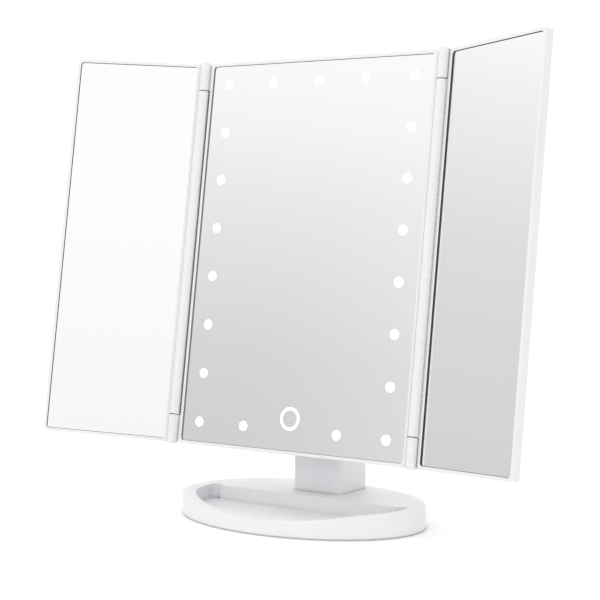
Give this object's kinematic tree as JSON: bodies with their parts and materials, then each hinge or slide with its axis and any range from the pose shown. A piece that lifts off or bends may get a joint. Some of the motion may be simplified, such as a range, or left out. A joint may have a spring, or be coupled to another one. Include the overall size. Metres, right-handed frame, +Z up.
{
  "type": "lighted vanity mirror",
  "caption": "Tri-fold table mirror with lit centre panel on a tilting neck, folding side mirrors and an oval base with a cosmetics tray.",
  "frame": {"origin": "centre of the base's underside, on the table", "axes": "+X to the right, -Y towards the user, +Z up"},
  "size_m": [0.3305, 0.1084, 0.2791],
  "materials": {
    "white_plastic": "smooth satin moulding",
    "plate_plastic": "fine matt moulding",
    "mirror_glass": "silvered glass",
    "rubber": "matt",
    "window_plastic": "frosted, lit from behind",
    "steel": "zinc plated",
    "shaft_steel": "ground",
    "nylon": "matt",
    "dark_plastic": "matt",
    "green_board": "solder mask",
    "white_board": "solder mask",
    "led": "phosphor",
    "copper": "etched foil",
    "foam": "foam tape",
    "cell_wrap": "printed film without markings"
  },
  "bodies": {
    "stand": {"base_cover": "white_plastic", "base_plate": "plate_plastic", "rubber_pad": "rubber", "base_screws": "steel", "control_board": "green_board", "power_inlet": "steel", "switch_body": "dark_plastic", "neck_shell": "white_plastic", "neck_screws": "steel", "battery_holder": "plate_plastic", "battery_cells": "cell_wrap", "battery_springs": "steel", "battery_contacts": "steel", "tilt_bushes": "nylon"},
    "power_slider": {"switch_slider": "white_plastic"},
    "battery_lid": {"battery_door": "white_plastic"},
    "center_panel": {"center_frame": "white_plastic", "center_mirror": "mirror_glass", "center_tape": "foam", "light_windows": "window_plastic", "touch_light_ring": "window_plastic", "leds": "led", "led_boards": "white_board", "touch_board": "green_board", "touch_pad": "copper", "back_cover": "white_plastic", "back_cover_screws": "steel", "tilt_shaft": "shaft_steel", "hinge_caps": "white_plastic", "left_hinge_pins": "shaft_steel", "right_hinge_pins": "shaft_steel"},
    "left_wing": {"left_wing_frame": "white_plastic", "left_wing_tape": "foam", "left_wing_mirror": "mirror_glass"},
    "right_wing": {"right_wing_frame": "white_plastic", "right_wing_tape": "foam", "right_wing_mirror": "mirror_glass"}
  },
  "joints": [
    {"name": "panel_tilt", "type": "hinge", "parent": "stand", "child": "center_panel", "pos_m": [0, 0.02505, 0.09], "axis": [-1, 0, 0], "range_deg": [-16, 80]},
    {"name": "left_wing_fold", "type": "hinge", "parent": "center_panel", "child": "left_wing", "pos_m": [-0.085, -0.00856, 0.09514], "axis": [0, 0.1513, 0.9885], "range_deg": [-23.2, 156.8]},
    {"name": "right_wing_fold", "type": "hinge", "parent": "center_panel", "child": "right_wing", "pos_m": [0.085, -0.00856, 0.09514], "axis": [0, -0.1513, -0.9885], "range_deg": [-23.4, 156.6]},
    {"name": "power_switch", "type": "slide", "parent": "stand", "child": "power_slider", "axis": [1, 0, 0], "range_m": [0, 0.003]},
    {"name": "battery_door_swing", "type": "hinge", "parent": "stand", "child": "battery_lid", "pos_m": [0, 0.04555, 0.0236], "axis": [-1, 0, 0], "range_deg": [0, 85]}
  ]
}
